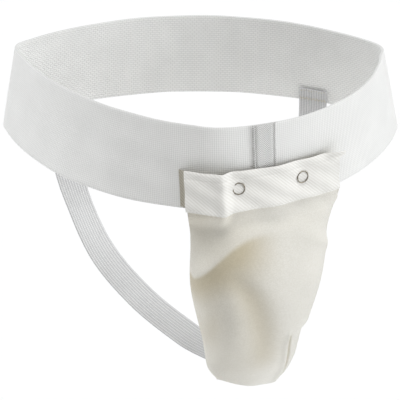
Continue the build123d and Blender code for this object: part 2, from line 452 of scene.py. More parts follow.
def facing_height(x, z):
    """How far the facing's outer face stands off the band, in millimetres."""
    snaps = (left_snap, right_snap)
    from_snap = min(sqrt((x - snap) ** 2 + (z - snap_height) ** 2) for snap in snaps)
    puffed = 2.0 * (1 - hill(from_snap, 10))
    stiff_end = 3.4 * (1 - smooth((x - ridge_place) / 9))
    ridge = 3.2 * hill(x - ridge_place, 5.5)
    drag = 0.8 * hill(x + 50 - 0.5 * z, 6) * smooth((-30 - x) / 10)
    sway = 0.6 * sin(0.13 * x + 0.5) + 0.5 * sin(0.21 * x + 0.35 * z)
    loose_end = 0.8 * smooth((x - 48) / 12)
    curl = 8.0 * smooth((x - 52) / 15) * smooth((z + 13) / 12)
    fold = -0.5 * hill(z + 7.5, 0.9)
    top_roll = -1.2 * hill(z - facing_top, 1.2)
    return snapped + puffed + stiff_end + ridge + drag + sway + loose_end + curl + fold + top_roll


def facing_point(x, z):
    """A point of the facing's outer face, as it would be without its droop."""
    point, outward = on_front(x, z)
    return point + outward * facing_height(x, z) * mm


def facing_droop(x, z):
    """How far the facing's lower half hangs below its place, as a move."""
    edge_droop = 2.4 * hill(x + 36, 13) + 0.5 * hill(x - 60, 20)
    above_edge = (z - facing_bottom) / (facing_top - facing_bottom)
    return up * edge_droop * (1 - smooth(2 * above_edge)) * mm


# %% Twill material, and the facing
def twill(tree, uv, pitch=1.5 * mm):
    """Diagonal ridges."""
    ridges = add_node(
        tree, "ShaderNodeTexWave", {"bands_direction": "DIAGONAL"},
        {"Scale": wave_scale(pitch), "Distortion": 0.6}, {"Vector": uv},
    )
    return ridges.outputs["Fac"]


# Cotton twill: fine diagonal ribs. The real pitch is near 1 mm, and it is drawn coarser.
facing_cloth_look = cloth_material("cotton_twill", "EFEEEA", "E4E2DC", twill, 0.1 * mm)
# The same twill, darker and warmer, on the facing's wrong side and curled underside: painted shade.
facing_painted_shade_look = cloth_material("cotton_twill_painted_shade", "DCD6C4", "BDB6A2", twill, 0.15 * mm)

facing_columns, facing_rows = 160, 46
facing_points = []
facing_uvs = []
for row in range(facing_rows):
    z = facing_bottom + (facing_top - facing_bottom) * row / (facing_rows - 1)
    line = []
    uv_line = []
    for column in range(facing_columns):
        x = facing_left + (facing_right - facing_left) * column / (facing_columns - 1)
        line.append(facing_point(x, z) - facing_droop(x, z))
        uv_line.append((x * mm, z * mm))
    facing_points.append(line)
    facing_uvs.append(uv_line)
top_facing = grid_piece("top_facing_twill", facing_points, facing_uvs)
top_facing.data.materials.append(facing_cloth_look)
# The facing's inner face takes the darker twill: painted shade.
top_facing.data.materials.append(facing_painted_shade_look)
facing_skin = tree_of(top_facing)
thicken(top_facing, facing_cloth * mm, inner_slot=1)
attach(top_facing, "flap")
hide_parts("top_facing")
print("facing points:", facing_columns * facing_rows)

# %% [markdown]
# A dull beige strip lies at the facing's left end, in the gap between the facing and the band. It is
# painted shadow: a dark sheet put where the facing's shade falls on the band.

# %% Painted shadow strip at the facing's left end
# Painted shadow: a dull beige twill strip that stands in for the facing's shadow on the band.
shadow_strip_look = cloth_material("painted_shadow_twill_strip", "B5B0A3", "979182", twill, 0.15 * mm)
shadow_strip_rows = 40
shadow_strip_low, shadow_strip_high = facing_bottom + 1.6, facing_top - 2.0
shadow_strip_thickness = 0.6
shadow_strip_profile = [(-70.5, 0.9), (-69.5, 1.3), (-68, 2.0), (-66.5, 3.2), (-65.4, 4.6), (-64.6, 6.2)]
shadow_strip_points = []
shadow_strip_uvs = []
for row in range(shadow_strip_rows):
    z = shadow_strip_low + (shadow_strip_high - shadow_strip_low) * row / (shadow_strip_rows - 1)
    line = []
    for x, height in shadow_strip_profile:
        point, outward = on_front(x, z)
        line.append(point + outward * height * mm)
    shadow_strip_points.append(line)
    shadow_strip_uvs.append([(x * mm, z * mm) for x, _ in shadow_strip_profile])
facing_shadow_strip = grid_piece("facing_end_painted_shadow", shadow_strip_points, shadow_strip_uvs)
facing_shadow_strip.data.materials.append(shadow_strip_look)
thicken(facing_shadow_strip, shadow_strip_thickness * mm)
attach(facing_shadow_strip, "flap")
print("binding rows:", shadow_strip_rows)

# %% [markdown]
# ## Pocket front
# The front of the pocket is fine cream jersey, stretched over the cup. Level cuts through the
# frame give the pocket's width and side seams, and rays from outside give its bow. Onto that go
# the folds that make it cloth: the cup's upper edge pushing through, a soft trough below it, a
# loose lobe at the lower left, and a stitched dart at the lower right.

# %% Measure the pocket at one height
cad_panel = frame["nodes"]["front_panel"]
cad_panel_skin = tree_of(cad_panel)


def level_cut(node, z):
    """The places, in the pocket's millimetres, where a node's edges cross one height."""
    mesh = node.data
    level = z * mm
    cuts = []
    for edge in mesh.edges:
        low, high = (mesh.vertices[corner].co for corner in edge.vertices)
        if (low.z - level) * (high.z - level) < 0:
            share = (level - low.z) / (high.z - low.z)
            cuts.append(in_pocket(low.lerp(high, share)))
    return cuts


def evenly(line, count):
    """The same line as a number of evenly spaced points."""
    lengths = [0]
    for start, end in zip(line, line[1:]):
        lengths.append(lengths[-1] + (end - start).length)
    spaced = []
    place = 0
    for step in range(count):
        target = lengths[-1] * step / (count - 1)
        while place < len(line) - 2 and lengths[place + 1] < target:
            place += 1
        gap = lengths[place + 1] - lengths[place]
        spaced.append(line[place].lerp(line[place + 1], (target - lengths[place]) / gap if gap else 0))
    return spaced


rays_per_point = 4
outside_pocket = 120       # rays start this far out
seam_skip = 0.3            # and just in front of the side seams, so that the first one hits cloth


def pocket_bow(z, count):
    """Points from the left seam round the front to the right seam, evenly spaced."""
    cuts = level_cut(cad_panel, z)
    left, right = min(cut[0] for cut in cuts), max(cut[0] for cut in cuts)
    seam = max(cut[1] for cut in cuts)
    middle = (left + right) / 2
    depth = seam - min(cut[1] for cut in cuts)
    bow = [Vector((left, seam, z))]
    rays = rays_per_point * count
    for ray in range(1, rays):
        turn = pi * ray / rays
        x, y = -cos(turn) * (right - left) / 2, -sin(turn) * depth
        way = Vector((x, y, 0)).normalized()
        outer = Vector((middle, seam - seam_skip, z)) + way * outside_pocket
        inward = across * -way.x + back * -way.y
        hit = cad_panel_skin.ray_cast(pocket_point(*outer), inward)[0]
        if hit:
            bow.append(Vector(in_pocket(hit)))
    bow.append(Vector((right, seam, z)))
    return evenly(bow, count)


# %% The pocket's folds
foot_lift, lift_from, pocket_foot = 9.5, -190, -232
foot_lean = 0.42
cup_top, cup_top_x = -58.5, 5


def foot_slant(x, z):
    """The pocket's foot is cut on a slant: the move that lifts its left side, and keeps it square."""
    rise = foot_lift * smooth((lift_from - z) / (lift_from - pocket_foot)) * smooth((2 - x) / 34)
    return (up - across * foot_lean) * rise * mm


def cup_edge(x):
    """The height at which the cup's arched upper edge shows through the cloth."""
    if x < cup_top_x:
        return cup_top - 39 * ((cup_top_x - x) / 65) ** 2.8
    return cup_top - 25 * ((x - cup_top_x) / 50) ** 2.5


def trough_line(z):
    """Where the soft trough runs: steep at first, then down towards the middle."""
    return -31 + 30 * (1 - exp(min(0, z + 94) / 45))


def pocket_fold(x, z):
    """How far the cloth stands off the plain bow, in millimetres."""
    above = z - cup_edge(x)
    edge_roll = 1.6 * hill(above, 7) - 0.8 * hill(above - 18, 12) * smooth((-44 - z) / 10)
    trough_reach = smooth((-78 - z) / 30) * (1 - smooth((-165 - z) / 40))
    trough = -4.0 * hill(x - trough_line(z), 13) * trough_reach
    lobe = 2.4 * hill(x + 38, 11) * hill(z + 155, 36)
    return edge_roll + trough + lobe


dart_top, dart_foot = -158, -228


def dart_line(z):
    """Where the dart runs at one height."""
    return 17.5 + 3.5 * smooth((dart_top - z) / 45)


def dart_fold(x, z):
    """A stitched dart: a narrow groove, a roll on its left, and a face turned back on its right."""
    reach = smooth((dart_top + 4 - z) / 9) * (1 - smooth((dart_foot - z) / 10))
    from_dart = x - dart_line(z)
    groove = -3.4 * hill(from_dart, 1.6)
    roll = 2.0 * hill(from_dart + 3.5, 3.5)
    turned = -0.3 * min(max(from_dart, 0), 12)
    pucker = 1.2 * hill(from_dart + 2.5, 1.4) * hill(z - dart_top, 6)
    return (groove + roll + turned) * reach + pucker


def painted_shade_amount(x, z):
    """How much painted shade, a warm grey darkening, the cream cloth gets, from 0 to 1: on its left side,
    under the cup's edge, in the trough, beside the lobe, at the hem corner and along the dart.
    """
    left_side = 0.2 * smooth((14 - x) / 50)
    below = cup_edge(x) - z
    under_edge = 0.85 * smooth((below + 2) / 6) * (1 - smooth((below - 4) / 42))
    under_edge *= smooth((14 - x) / 44)
    trough_reach = smooth((-84 - z) / 25) * (1 - smooth((-172 - z) / 36))
    trough = 0.5 * hill(x - trough_line(z), 13) * trough_reach
    beside_lobe = 0.3 * hill(x + 50, 6) * hill(z + 150, 28)
    hem_corner = 0.2 * hill(x + 62, 14) * smooth((z + 90) / 40)
    dart = 0.6 * hill(x - dart_line(z), 1.1) * smooth((dart_top + 2 - z) / 6)
    return min(1, left_side + under_edge + trough + beside_lobe + hem_corner + dart)


# %% Jersey material
def jersey(tree, uv, wale=1.1 * mm, course=0.9 * mm):
    """Rows of small knitted loops."""
    bricks = add_node(
        tree, "ShaderNodeTexBrick", {"offset": 0.5},
        {
            "Color1": (1, 1, 1, 1), "Color2": (0.7, 0.7, 0.7, 1), "Mortar": (0.1, 0.1, 0.1, 1),
            "Scale": 1.0, "Mortar Size": course / 5, "Mortar Smooth": 1.0,
            "Brick Width": wale, "Row Height": course,
        },
        {"Vector": uv},
    )
    return bricks.outputs["Color"]


# Cotton jersey, unbleached: very fine loops that read as a soft cream grain.
jersey_look = cloth_material("cotton_jersey", "F3F1EA", "D3CFC2", jersey, 0.16 * mm, sheen=0.35)


def tint_with_painted_shade(material, shade_colour):
    """Darken a cloth towards a warm shade colour wherever the piece's point attribute asks: painted shade.
    """
    tree = material.node_tree
    shader = tree.nodes["Principled BSDF"]
    clean = shader.inputs["Base Color"].links[0].from_socket
    painted_shade = add_node(tree, "ShaderNodeAttribute", {"attribute_name": "painted_shade"})
    tint = add_node(
        tree, "ShaderNodeMix", {"data_type": "RGBA"}, {"A": linear("FFFFFF"), "B": linear(shade_colour)},
        {"Factor": painted_shade.outputs["Fac"]},
    )
    tinted = add_node(
        tree, "ShaderNodeMix", {"data_type": "RGBA", "blend_type": "MULTIPLY"}, {"Factor": 1.0},
        {"A": clean, "B": tint.outputs["Result"]},
    )
    tree.links.new(tinted.outputs["Result"], shader.inputs["Base Color"])


# Painted shade: the jersey is tinted warm grey-beige, DCD3BE, where the pocket lies in shade.
tint_with_painted_shade(jersey_look, "DCD3BE")

# %% Build the pocket front
panel_columns, panel_rows = 170, 128
panel_top, panel_foot = -39.5, -231.4
pocket_cloth = 1.2
tuck_left, tuck_right = -62.5, 65    # where the panel's corners are sewn behind the facing
tuck_depth = 17            # how far down the cloth takes to leave the facing
tuck_gap = 0.3
tuck_lifts = (5, 2.5)      # rows hidden behind the facing
front_way = Vector((0, -1, 0))


def outward_in_pocket(share):
    """The way off the bow, in the pocket's axes: forward in the middle, sideways at the seams."""
    side_way = Vector((-1 if share < 0.5 else 1, 0, 0))
    return front_way.lerp(side_way, abs(2 * share - 1) ** 2).normalized()


def panel_row(z):
    """One level line of the pocket front."""
    row = []
    blend_down = smooth((panel_top - z) / tuck_depth)
    for column, point in enumerate(pocket_bow(z, panel_columns)):
        share = column / (panel_columns - 1)
        inner = smooth(share * 12) * smooth((1 - share) * 12)
        shift = (pocket_fold(point.x, z) + dart_fold(point.x, z)) * inner
        cloth = pocket_point(*(point + outward_in_pocket(share) * shift))
        cloth += foot_slant(point.x, z)
        x = tuck_left + (tuck_right - tuck_left) * share
        hem = facing_point(x, facing_bottom)
        tucked = hem + back * (facing_cloth + tuck_gap) * mm + up * (z - facing_bottom) * mm
        row.append(tucked.lerp(cloth, blend_down))
    return row


levels = [panel_top + (panel_foot - panel_top) * row / (panel_rows - 1) for row in range(panel_rows)]
first_row = panel_row(levels[0])
tuck_rows = [[point + up * lift * mm for point in first_row] for lift in tuck_lifts]
panel_points = tuck_rows + [panel_row(z) for z in levels]

# The lowest rows turn under and close towards the back seam.
last_bow = panel_points[-1]
foot_overhang = 0.9
for closing in (0.25, 0.55, 0.85):
    drop = foot_overhang * sqrt(1 - (1 - closing) ** 2) * mm
    closing_row = []
    for column, point in enumerate(last_bow):
        on_seam = last_bow[0].lerp(last_bow[-1], column / (panel_columns - 1))
        closing_row.append(point.lerp(on_seam, closing) - up * drop)
    panel_points.append(closing_row)

panel_uvs = []
panel_length = 0
middle = panel_columns // 2
for row, line in enumerate(panel_points):
    if row:
        panel_length += (line[middle] - panel_points[row - 1][middle]).length
    width = sum((b - a).length for a, b in zip(line, line[1:]))
    shares = [column / (panel_columns - 1) - 0.5 for column in range(panel_columns)]
    panel_uvs.append([(width * share, -panel_length) for share in shares])
front_panel = grid_piece("front_panel_jersey", panel_points[::-1], panel_uvs[::-1])
front_panel.data.materials.append(jersey_look)
# Each point's amount of painted shade.
painted_shade = front_panel.data.attributes.new("painted_shade", "FLOAT", "POINT")
places = [in_pocket(vertex.co) for vertex in front_panel.data.vertices]
painted_shade.data.foreach_set("value", [painted_shade_amount(x, z) for x, y, z in places])
thicken(front_panel, pocket_cloth * mm)
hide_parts("front_panel")
print(f"pocket front: {panel_length / mm:.0f} mm long")

# %% [markdown]
# ## Pocket lining
# The back of the pocket is the same jersey, flat against the wearer. It hangs between the two
# side seams, so level cuts of the frame give its sides, and it only waves a little.

# %% Build the lining
cad_lining = frame["nodes"]["pocket_lining"]
lining_columns, lining_rows = 60, 90
lining_inset = 0.3
lining_low, lining_high = (in_pocket(corner)[2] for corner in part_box("pocket_lining"))
lining_points = []
lining_uvs = []
for row in range(lining_rows):
    height = lining_high - lining_low - 2 * lining_inset
    z = lining_low + lining_inset + height * row / (lining_rows - 1)
    cuts = level_cut(cad_lining, z)
    left, right = min(cut[0] for cut in cuts), max(cut[0] for cut in cuts)
    outside = max(cut[1] for cut in cuts)
    line = []
    uv_line = []
    for column in range(lining_columns - 1, -1, -1):
        share = column / (lining_columns - 1)
        x = left + (right - left) * share
        wave = 0.5 * sin(0.11 * x + 0.05 * z) * sin(pi * share)
        line.append(pocket_point(x, outside + wave - 0.5, z) + foot_slant(x, z))
        uv_line.append((x * mm, z * mm))
    lining_points.append(line)
    lining_uvs.append(uv_line)
pocket_lining = grid_piece("pocket_lining_jersey", lining_points, lining_uvs)
pocket_lining.data.materials.append(jersey_look)
thicken(pocket_lining, pocket_cloth * mm, offset=0)
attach(pocket_lining, "waist_and_pocket")
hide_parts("pocket_lining")
print("lining rows:", lining_rows)

# %% [markdown]
# ## Leg straps
# Each strap is inch-wide ribbed elastic. It starts flat on the band's inner face, falls and
# turns forward, and ends behind the pocket's foot. The points below are its route, as fractions
# of the way from band to foot, and one ribbed cross-section is carried along it.

# %% A smooth path, and a section carried along it
def smooth_path(points, sides, spacing):
    """Points, and the directions across, about one spacing apart on a smooth path."""
    gaps = [(end - start).length for start, end in zip(points, points[1:])]
    slopes = [(end - start) / gap for start, end, gap in zip(points, points[1:], gaps)]
    headings = [slopes[0]]
    for before, after, near, far in zip(slopes, slopes[1:], gaps, gaps[1:]):
        headings.append((before * far + after * near) / (near + far))
    headings.append(slopes[-1])
    path = []
    for leg, gap in enumerate(gaps):
        count = max(2, round(gap / spacing))
        for step in range(count + (leg == len(gaps) - 1)):
            t = step / count
            point = (
                points[leg] * (2 * t**3 - 3 * t**2 + 1)
                + headings[leg] * gap * (t**3 - 2 * t**2 + t)
                + points[leg + 1] * (3 * t**2 - 2 * t**3)
                + headings[leg + 1] * gap * (t**3 - t**2)
            )
            path.append((point, sides[leg].lerp(sides[leg + 1], smooth(t)).normalized()))
    return path


strap_width, strap_thickness = 25.4, 1.6
rib_count, rib_height = 11, 0.36
edge_share = 0.45          # how thick the strap's woven edge is, as a share of its middle


def ribbed_section(steps_per_rib=5):
    """Points of the strap's cross-section, across and through it, and the distance round."""
    steps = rib_count * steps_per_rib
    outline = []
    for face in (1, -1):
        for step in range(steps + 1):
            share = step / steps if face > 0 else 1 - step / steps
            rib = abs(sin(pi * rib_count * share)) ** 0.7
            edge = min(share, 1 - share) * strap_width
            full = strap_thickness / 2 - rib_height + rib_height * rib
            height = full * min(1, edge_share + edge)
            outline.append((strap_width * (share - 0.5), face * height, strap_width * share))
    return outline


def webbing(name, path):
    """A closed piece of ribbed elastic along a path."""
    section = ribbed_section()
    rows = []
    uvs = []
    length = 0
    for place, (point, side) in enumerate(path):
        before = path[max(place - 1, 0)][0]
        after = path[min(place + 1, len(path) - 1)][0]
        along = (after - before).normalized()
        across_strap = (side - along * side.dot(along)).normalized()
        through = across_strap.cross(along)
        length += (point - before).length
        rows.append([point + (across_strap * x + through * y) * mm for x, y, _ in section])
        uvs.append([(distance * mm, length) for _, _, distance in section] + [(0, length)])
    piece = grid_piece(name, rows, uvs, loop=True)
    columns = len(section)
    shape = bmesh.new()
    shape.from_mesh(piece.data)
    shape.verts.ensure_lookup_table()
    for first in (0, (len(rows) - 1) * columns):
        last = first + columns - 1
        for step in range(columns // 2 - 1):
            corners = (first + step, first + step + 1, last - 1 - step, last - step)
            shape.faces.new([shape.verts[corner] for corner in corners])
    bmesh.ops.recalc_face_normals(shape, faces=shape.faces)
    shape.to_mesh(piece.data)
    shape.free()
    return piece, length


# %% The straps' routes
strap_route = [(0.083, -101), (0.145, -127), (0.26, -160), (0.485, -190), (0.77, -209)]
patch_heights = (-24.5, -35.5)
strap_tilt = radians(25)
strap_clearance = 1.2
foot_back, foot_z, foot_lead = 34.5, -222, 18
path_spacing = 2.2


def strap_path(anchor_x, foot_x):
    """The strap's path from the band's inner face to the pocket's foot."""
    points = []
    for height in patch_heights:
        inside = Vector((anchor_x, 0, height)) * mm
        hit, towards_wearer = cad_band.ray_cast(inside, Vector((0, 1, 0)))[:2]
        points.append(hit + towards_wearer * (strap_thickness / 2 + strap_clearance) * mm)
    level_normal = -Vector((towards_wearer.x, towards_wearer.y, 0)).normalized()
    start = points[-1]
    lead = pocket_point(foot_x, foot_back + foot_lead, foot_z + 3)
    foot = pocket_point(foot_x, foot_back, foot_z)
    way = Vector((lead.x - start.x, lead.y - start.y, 0))
    points += [Vector((start.x, start.y, 0)) + way * share + up * z * mm for share, z in strap_route]
    points += [lead, foot]
    inner = 1 if foot_x < 0 else -1
    run_side = up.cross(way.normalized()) * cos(strap_tilt) + up * inner * sin(strap_tilt)
    sides = [up.cross(level_normal)] * 3 + [run_side] * 4 + [across] * 2
    for place in range(1, len(sides)):
        if sides[place].dot(sides[place - 1]) < 0:
            sides[place] = -sides[place]
    return smooth_path(points, sides, path_spacing * mm), start, up.cross(level_normal), level_normal


# %% Strap material
def picks(tree, uv, pitch=1.6 * mm):
    """Lengthwise ribs with fine picks across them."""
    ribs = add_node(
        tree, "ShaderNodeTexWave", {"bands_direction": "X"},
        {"Scale": wave_scale(strap_width * mm / rib_count)}, {"Vector": uv},
    )
    threads = add_node(
        tree, "ShaderNodeTexWave", {"bands_direction": "Y"},
        {"Scale": wave_scale(pitch), "Distortion": 0.4}, {"Vector": uv},
    )
    mixed = add_node(
        tree, "ShaderNodeMix", {"data_type": "FLOAT"}, {"Factor": 0.35},
        {"A": ribs.outputs["Fac"], "B": threads.outputs["Fac"]},
    )
    return mixed.outputs["Result"]


# Woven ribbed elastic: white cotton over rubber cords, grey in the furrows between ribs.
strap_look = cloth_material("ribbed_elastic", "DFDFDF", "BABABB", picks, 0.16 * mm)
straps = {}
for side, anchor_x, foot_x in (("left", -127, -15), ("right", 100, 15)):
    path, start, strap_across, outward = strap_path(anchor_x, foot_x)
    strap, strap_length = webbing(f"{side}_leg_strap_elastic", path)
    strap.data.materials.append(strap_look)
    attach(strap, "waist_and_pocket")
    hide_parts(f"{side}_leg_strap")
    straps[side] = (start, strap_across, outward)
    print(f"{side} strap: {strap_length / mm:.0f} mm long")

# %% [markdown]
# ## Stitching
# Every row of stitches is the same idea: small rounded threads at even steps along a line. One
# Geometry Nodes tree does that for any line, with the step, the stitch length and the thread's
# thickness as inputs. A second tree lays one unbroken thread along a line, for zigzags and
# overlocked edges.

# %% The stitch trees
def thread_material(name, colour):
    """Matt spun thread with a fine twist."""
    material, tree, shader = new_material(name)
    place = add_node(tree, "ShaderNodeTexCoord").outputs["Object"]
    twist = add_node(tree, "ShaderNodeTexNoise", None, {"Scale": 1800.0, "Detail": 2.0}, {"Vector": place})
    shade = add_node(
        tree, "ShaderNodeMapRange", None, {"To Min": 0.8, "To Max": 1.0}, {"Value": twist.outputs["Fac"]}
    )
    tinted = add_node(
        tree, "ShaderNodeMix", {"data_type": "RGBA", "blend_type": "MULTIPLY"},
        {"Factor": 1.0, "A": linear(colour)}, {"B": shade.outputs["Result"]},
    )
    bump = add_node(
        tree, "ShaderNodeBump", None, {"Strength": 0.6, "Distance": 0.1 * mm},
        {"Height": twist.outputs["Fac"]},
    )
    tree.links.new(tinted.outputs["Result"], shader.inputs["Base Color"])
    tree.links.new(bump.outputs["Normal"], shader.inputs["Normal"])
    shader.inputs["Roughness"].default_value = 0.8
    return material


# Spun cotton thread, bleached: matt and slightly fuzzy, near the colour of the cloth it holds.
white_thread = thread_material("spun_cotton_thread", "F0EFEA")
# Spun cotton thread, unbleached: a warm beige that shows against white elastic.
beige_thread = thread_material("unbleached_thread", "D8CFB8")


def line_tree(name, inputs):
    """A new Geometry Nodes tree with named inputs, and its first and last nodes."""
    tree = bpy.data.node_groups.new(name, "GeometryNodeTree")
    tree.interface.new_socket("Line", in_out="INPUT", socket_type="NodeSocketGeometry")
    for label in inputs:
        tree.interface.new_socket(label, in_out="INPUT", socket_type="NodeSocketFloat")
    tree.interface.new_socket("Finish", in_out="INPUT", socket_type="NodeSocketMaterial")
    tree.interface.new_socket("Thread", in_out="OUTPUT", socket_type="NodeSocketGeometry")
    return tree, add_node(tree, "NodeGroupInput"), add_node(tree, "NodeGroupOutput")


def close_tree(tree, given, result, threads):
    """Make the threads real, smooth and finished."""
    real = add_node(tree, "GeometryNodeRealizeInstances", links={"Geometry": threads})
    smoothed = add_node(tree, "GeometryNodeSetShadeSmooth", links={"Geometry": real.outputs["Geometry"]})
    finished = add_node(
        tree, "GeometryNodeSetMaterial",
        links={"Geometry": smoothed.outputs["Geometry"], "Material": given.outputs["Finish"]},
    )
    tree.links.new(finished.outputs["Geometry"], result.inputs["Thread"])
    return tree


def running_stitch_tree():
    """Rounded stitches at even steps."""
    tree, given, result = line_tree("running_stitches", ("Step", "Stitch length", "Thickness"))
    curve = add_node(tree, "GeometryNodeMeshToCurve", links={"Mesh": given.outputs["Line"]})
    even = add_node(
        tree, "GeometryNodeResampleCurve", {"mode": "LENGTH"},
        links={"Curve": curve.outputs["Curve"], "Length": given.outputs["Step"]},
    )
    tangent = add_node(tree, "GeometryNodeInputTangent")
    turn = add_node(
        tree, "FunctionNodeAlignRotationToVector", {"axis": "X"},
        links={"Vector": tangent.outputs["Tangent"]},
    )
    stitch = add_node(tree, "GeometryNodeMeshUVSphere", None, {"Segments": 8, "Rings": 6, "Radius": 0.5})
    size = add_node(
        tree, "ShaderNodeCombineXYZ",
        links={
            "X": given.outputs["Stitch length"],
            "Y": given.outputs["Thickness"],
            "Z": given.outputs["Thickness"],
        },
    )
    placed = add_node(
        tree, "GeometryNodeInstanceOnPoints",
        links={
            "Points": even.outputs["Curve"],
            "Instance": stitch.outputs["Mesh"],
            "Rotation": turn.outputs["Rotation"],
            "Scale": size.outputs["Vector"],
        },
    )
    return close_tree(tree, given, result, placed.outputs["Instances"])


def unbroken_thread_tree():
    """One round thread along the whole line."""
    tree, given, result = line_tree("unbroken_thread", ("Thickness",))
    curve = add_node(tree, "GeometryNodeMeshToCurve", links={"Mesh": given.outputs["Line"]})
    radius = add_node(
        tree, "ShaderNodeMath", {"operation": "DIVIDE"}, {1: 2.0}, {0: given.outputs["Thickness"]}
    )
    round_profile = add_node(
        tree, "GeometryNodeCurvePrimitiveCircle", None, {"Resolution": 6},
        {"Radius": radius.outputs["Value"]},
    )
    tube = add_node(
        tree, "GeometryNodeCurveToMesh", None, {"Fill Caps": True},
        {"Curve": curve.outputs["Curve"], "Profile Curve": round_profile.outputs["Curve"]},
    )
    return close_tree(tree, given, result, tube.outputs["Mesh"])


running_stitches = running_stitch_tree()
unbroken_thread = unbroken_thread_tree()


def sew(name, lines, tree, finish, **sizes):
    """Run one stitch tree along some lines, and return the plain mesh that it makes."""
    points = []
    edges = []
    for line in lines:
        first = len(points)
        points += line
        edges += [(first + place, first + place + 1) for place in range(len(line) - 1)]
    mesh = bpy.data.meshes.new(name + "_line")
    mesh.from_pydata(points, edges, [])
    guide = bpy.data.objects.new(name + "_line", mesh)
    bpy.context.scene.collection.objects.link(guide)
    modifier = guide.modifiers.new("stitches", "NODES")
    modifier.node_group = tree
    inputs = [item for item in tree.interface.items_tree if item.in_out == "INPUT"]
    sockets = {item.name: item.identifier for item in inputs}
    for label, size in sizes.items():
        modifier[sockets[label.replace("_", " ")]] = size
    modifier[sockets["Finish"]] = finish
    evaluated = guide.evaluated_get(bpy.context.evaluated_depsgraph_get())
    stitches = bpy.data.meshes.new_from_object(evaluated)
    bpy.data.objects.remove(guide)
    piece = bpy.data.objects.new(name, stitches)
    bpy.context.scene.collection.objects.link(piece)
    if not stitches.materials:
        stitches.materials.append(finish)
    print(f"{name}: {len(stitches.polygons)} faces")
    return piece


# %% [markdown]
# ## Rows that hold the facing and the pocket
# A running stitch closes the facing's lower hem, one holds each edge of the seam tape, and two
# rows sew the straps to the pocket's foot. Seen close, each stitch sinks a little into the cloth.

# %% Facing hem, tape edges and strap foot
def facing_line(z, first_x, last_x, lift=0.12, step=2):
    """A line along the facing's outer face."""
    count = int((last_x - first_x) / step)
    line = []
    for place in range(count + 1):
        x = first_x + (last_x - first_x) * place / count
        point, outward = on_front(x, z)
        line.append(point + outward * (facing_height(x, z) + lift) * mm - facing_droop(x, z))
    return line


hem_height, hem_inset = -35.2, 2
hem_line = facing_line(hem_height, facing_left + hem_inset, facing_right - hem_inset)
hem_stitching = sew(
    "facing_hem_thread", [hem_line], running_stitches, white_thread,
    Step=3.0 * mm, Stitch_length=2.3 * mm, Thickness=0.5 * mm,
)
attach(hem_stitching, "flap")
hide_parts("facing_hem_stitching")

tape_row_x, tape_row_reach, tape_row_lift, tape_row_points = 5.9, 36.5, 1.25, 38
tape_lines = []
for x in (-tape_row_x, tape_row_x):
    line = []
    for place in range(tape_row_points):
        share = place / (tape_row_points - 1)
        point, outward = on_front(x, tape_row_reach * (2 * share - 1))
        line.append(point + outward * tape_row_lift * mm)
    tape_lines.append(line)
tape_stitching = sew(
    "tape_edge_thread", tape_lines, running_stitches, white_thread,
    Step=2.6 * mm, Stitch_length=2.0 * mm, Thickness=0.4 * mm,
)
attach(tape_stitching, "waist_and_pocket")

foot_low, foot_high = (in_pocket(corner)[2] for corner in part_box("strap_foot_stitching"))
foot_row_half, foot_row_lift = 0.6, 0.15
foot_lines = []
for z in (foot_low + foot_row_half, foot_high - foot_row_half):
    cuts = level_cut(cad_lining, z)
    behind = max(cut[1] for cut in cuts) + foot_row_lift
    foot_lines.append([pocket_point(x, behind, z) + foot_slant(x, z) for x in range(-22, 21, 2)])
foot_stitching = sew(
    "strap_foot_thread", foot_lines, running_stitches, beige_thread,
    Step=3.0 * mm, Stitch_length=2.4 * mm, Thickness=0.7 * mm,
)
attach(foot_stitching, "waist_and_pocket")
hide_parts("strap_foot_stitching")

# %% [markdown]
# A zigzag holds each strap's end to the band: one row along the band's edge, and one across the
# top of the patch. It is a thread that turns back at every stitch.

# %% Strap tacks
def zigzag(start, strap_across, outward, height, first, last, swing, step=1.5):
    """A zigzag across a strap's end, on the side that faces the wearer."""
    count = int((last - first) / step)
    line = []
    for place in range(count + 1):
        side = first + (last - first) * place / count
        rise = height + (swing if place % 2 else -swing)
        lift = strap_thickness / 2 + 0.1
        line.append(start + (strap_across * side + up * rise - outward * lift) * mm)
    return line


tack_heights, tack_swing, tack_inset = (1.6, 9.5), 1.1, 0.8
for side, (start, strap_across, outward) in straps.items():
    edge = strap_width / 2 - tack_inset
    rows = [
        zigzag(start, strap_across, outward, height, -edge, edge, tack_swing)
        for height in tack_heights
    ]
    tack = sew(f"{side}_strap_zigzag", rows, unbroken_thread, beige_thread, Thickness=0.55 * mm)
    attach(tack, "waist_and_pocket")
    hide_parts(f"{side}_strap_tack")

# %% [markdown]
# The pocket's side seams are overlocked: a strip of both cloths with a thread looped round its
# edge. The strip comes from level cuts of the frame, and the loop is a spring along it.

# %% Side seams
seam_rows, seam_sides, seam_end_inset = 90, 12, 0.3
cloth_shares = (0.95, 0.9)     # the cloth's width and depth inside the thread that wraps it
quarter_rise = 0.5             # how far the thread climbs in a quarter turn


def oval_point(cuts, turn, shares, z):
    """A point on the oval that fills some level cuts, at one turn round it."""
    across_cuts, back_cuts = ([cut[axis] for cut in cuts] for axis in (0, 1))
    place = []
    for values, share, way in zip((across_cuts, back_cuts), shares, (cos(turn), sin(turn))):
        low, high = min(values), max(values)
        place.append((low + high) / 2 + (high - low) / 2 * way * share)
    return pocket_point(*place, z)


